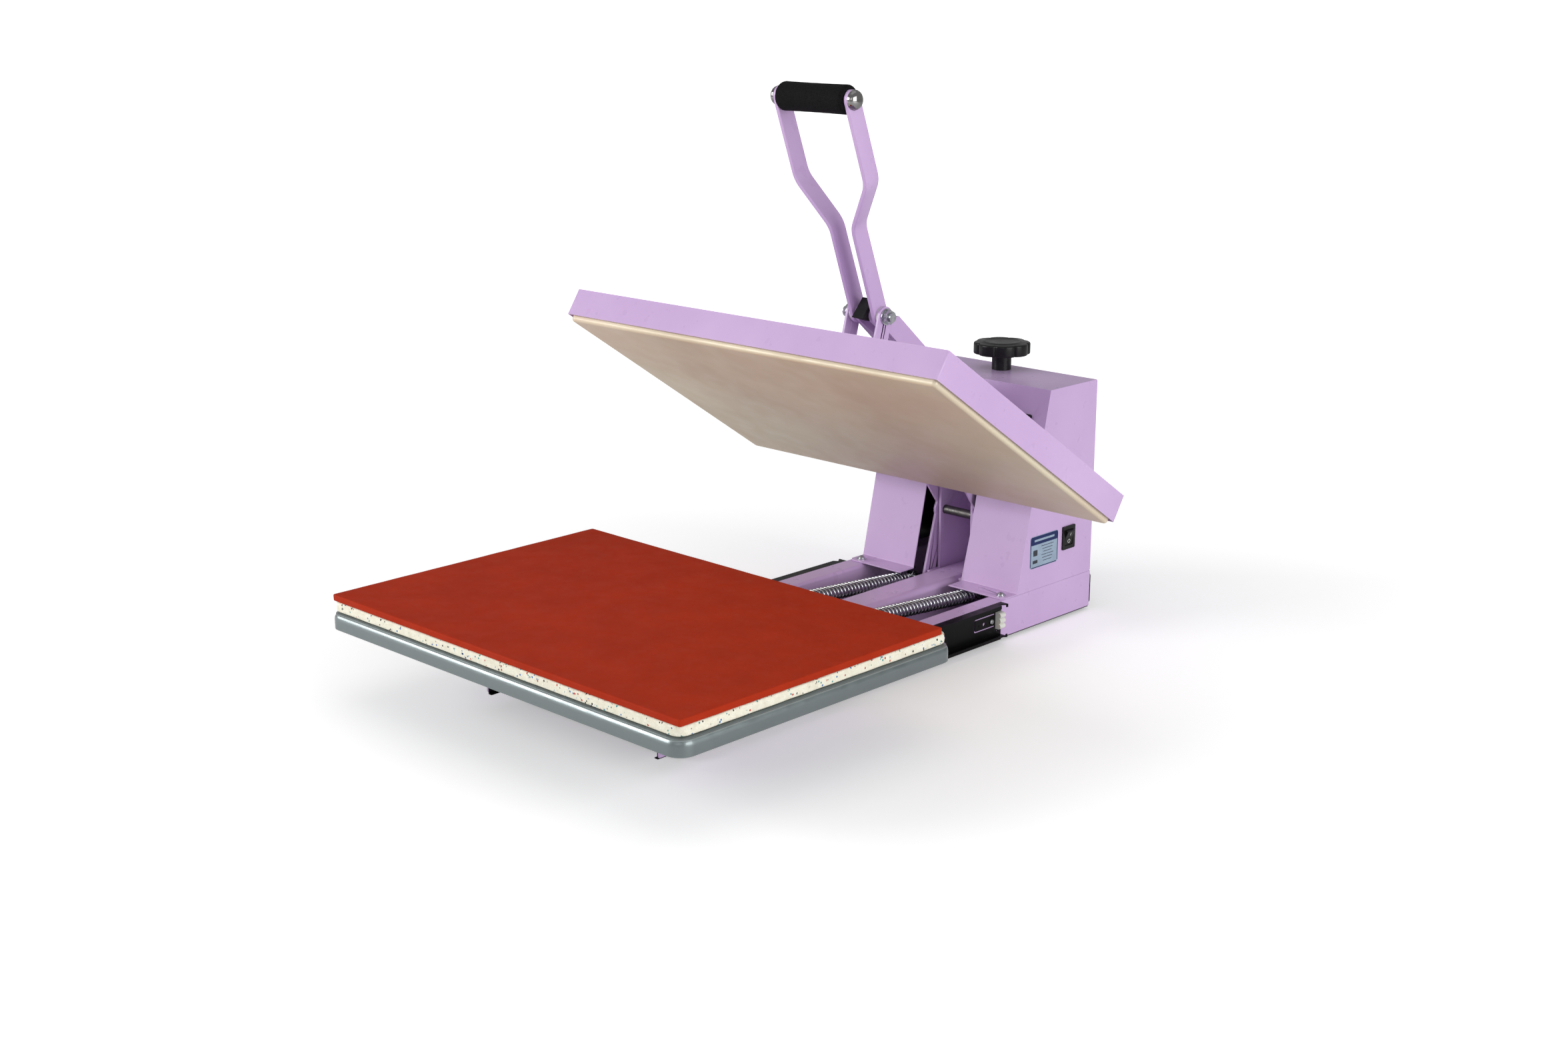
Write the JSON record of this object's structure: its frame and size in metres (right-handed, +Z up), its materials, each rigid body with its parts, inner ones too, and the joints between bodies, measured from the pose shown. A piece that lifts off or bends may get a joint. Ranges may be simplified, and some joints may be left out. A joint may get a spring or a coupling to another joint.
{
  "type": "tabletop printing press",
  "caption": "Clamshell heat transfer press with a sliding lower platen, hinged upper heat platen, knee lever handle, counter springs and pressure knob.",
  "frame": {"origin": "centre of the bounding box on the table top", "axes": "+Z up, +X to the operator's right, -Y towards the operator"},
  "size_m": [0.6132, 0.9263, 0.7164],
  "materials": {
    "painted_steel": "satin powder coat",
    "black_steel": "black zinc",
    "black_plastic": "moulded",
    "black_rubber": "matt",
    "zinc_steel": "bright zinc",
    "white_nylon": "satin",
    "display_window": "gloss",
    "label_foil": "gloss",
    "grey_metallic": "metallic grey",
    "speckled_foam": "open cell foam",
    "red_silicone": "matt silicone",
    "coated_aluminium": "non-stick coated",
    "insulation": "mineral board",
    "grip_foam": "foam",
    "chrome": "polished",
    "key_rubber": "matt"
  },
  "bodies": {
    "base": {"side_rails": "painted_steel", "centre_beam": "painted_steel", "front_cross_member": "painted_steel", "rear_cross_member": "painted_steel", "base_plate": "black_steel", "rear_end_cap": "black_plastic", "rubber_feet": "black_rubber", "tower_plates": "painted_steel", "housing_cover": "painted_steel", "rear_cover": "painted_steel", "main_shaft": "zinc_steel", "shaft_nuts": "zinc_steel", "screw_bridge": "zinc_steel", "slide_outers": "black_steel", "slide_bumpers": "white_nylon", "slide_screws": "zinc_steel", "spring_anchor": "zinc_steel", "counter_springs": "zinc_steel", "controller_case": "black_plastic", "controller_display": "display_window", "rocker_frame": "black_plastic", "power_inlet": "black_plastic", "label_plate": "label_foil", "flange_screws": "zinc_steel", "cover_screws": "zinc_steel", "relay": "black_plastic", "terminal_block": "white_nylon"},
    "slide_middle": {"slide_middles": "black_steel", "ball_cages": "zinc_steel"},
    "drawer": {"slide_inners": "black_steel", "drawer_brackets": "painted_steel", "bracket_screws": "zinc_steel", "drawer_tray": "grey_metallic", "foam_pad": "speckled_foam", "silicone_pad": "red_silicone"},
    "platen": {"platen_cover": "painted_steel", "heat_plate": "coated_aluminium", "insulation_board": "insulation", "heating_element": "zinc_steel", "thermal_sensor": "zinc_steel", "hinge_brackets": "painted_steel", "spring_pins": "zinc_steel", "link_pin": "zinc_steel"},
    "upper_arm": {"arm_plates": "painted_steel", "arm_web": "painted_steel", "stop_block": "black_rubber", "pivot_bolt": "zinc_steel", "nylon_washers": "white_nylon"},
    "links": {"press_links": "painted_steel"},
    "handle": {"handle_bars": "painted_steel", "grip_tube": "zinc_steel", "foam_grip": "grip_foam", "dome_nuts": "chrome"},
    "block": {"pressure_block": "zinc_steel"},
    "knob": {"pressure_knob": "black_plastic"},
    "switch": {"rocker": "black_plastic"},
    "menu_button": {"key_menu": "key_rubber"},
    "down_button": {"key_down": "key_rubber"},
    "up_button": {"key_up": "key_rubber"},
    "start_button": {"key_start": "key_rubber"}
  },
  "joints": [
    {"name": "platen_hinge", "type": "hinge", "parent": "base", "child": "platen", "pos_m": [0, 0.3435, 0.134], "axis": [1, 0, 0], "range_deg": [0, 33.5], "stiffness_Nm_per_rad": 40, "springref_deg": -85.94, "deforming": ["counter_springs"]},
    {"name": "knob_turn", "type": "hinge", "parent": "base", "child": "knob", "pos_m": [0, 0.425, 0.33], "axis": [0, 0, 1], "range_deg": [-540, 540]},
    {"name": "block_slide", "type": "slide", "parent": "base", "child": "block", "axis": [0, 0, 1], "range_m": [-0.003, 0.003]},
    {"name": "arm_hinge", "type": "hinge", "parent": "block", "child": "upper_arm", "pos_m": [0, 0.425, 0.1995], "axis": [1, 0, 0], "range_deg": [0, 28]},
    {"name": "link_hinge", "type": "hinge", "parent": "upper_arm", "child": "links", "pos_m": [0, 0.1535, 0.4283], "axis": [1, 0, 0], "range_deg": [-31.6, 0]},
    {"name": "handle_hinge", "type": "hinge", "parent": "upper_arm", "child": "handle", "pos_m": [0, 0.1535, 0.4283], "axis": [1, 0, 0], "range_deg": [0, 60.5]},
    {"name": "drawer_slide", "type": "slide", "parent": "base", "child": "drawer", "axis": [0, 1, 0], "range_m": [0, 0.29]},
    {"name": "slide_middle_travel", "type": "slide", "parent": "base", "child": "slide_middle", "axis": [0, 1, 0], "range_m": [0, 0.145]},
    {"name": "switch_rock", "type": "hinge", "parent": "base", "child": "switch", "pos_m": [0.136, 0.4055, 0.1135], "axis": [0, -1, 0], "range_deg": [0, 26]},
    {"name": "menu_press", "type": "slide", "parent": "base", "child": "menu_button", "axis": [0, 0.9761, -0.2173], "range_m": [0, 0.0012], "stiffness_N_per_m": 600},
    {"name": "down_press", "type": "slide", "parent": "base", "child": "down_button", "axis": [0, 0.9761, -0.2173], "range_m": [0, 0.0012], "stiffness_N_per_m": 600},
    {"name": "up_press", "type": "slide", "parent": "base", "child": "up_button", "axis": [0, 0.9761, -0.2173], "range_m": [0, 0.0012], "stiffness_N_per_m": 600},
    {"name": "start_press", "type": "slide", "parent": "base", "child": "start_button", "axis": [0, 0.9761, -0.2173], "range_m": [0, 0.0012], "stiffness_N_per_m": 600}
  ],
  "couplings": [
    {"joint": "knob_turn", "follows": "block_slide", "rad_per_m": -3141.6},
    {"joint": "arm_hinge", "follows": "platen_hinge", "ratio": 0.8297},
    {"joint": "link_hinge", "follows": "platen_hinge", "ratio": -0.9356},
    {"joint": "handle_hinge", "follows": "platen_hinge", "ratio": 1.79},
    {"joint": "slide_middle_travel", "follows": "drawer_slide", "ratio": 0.5}
  ]
}
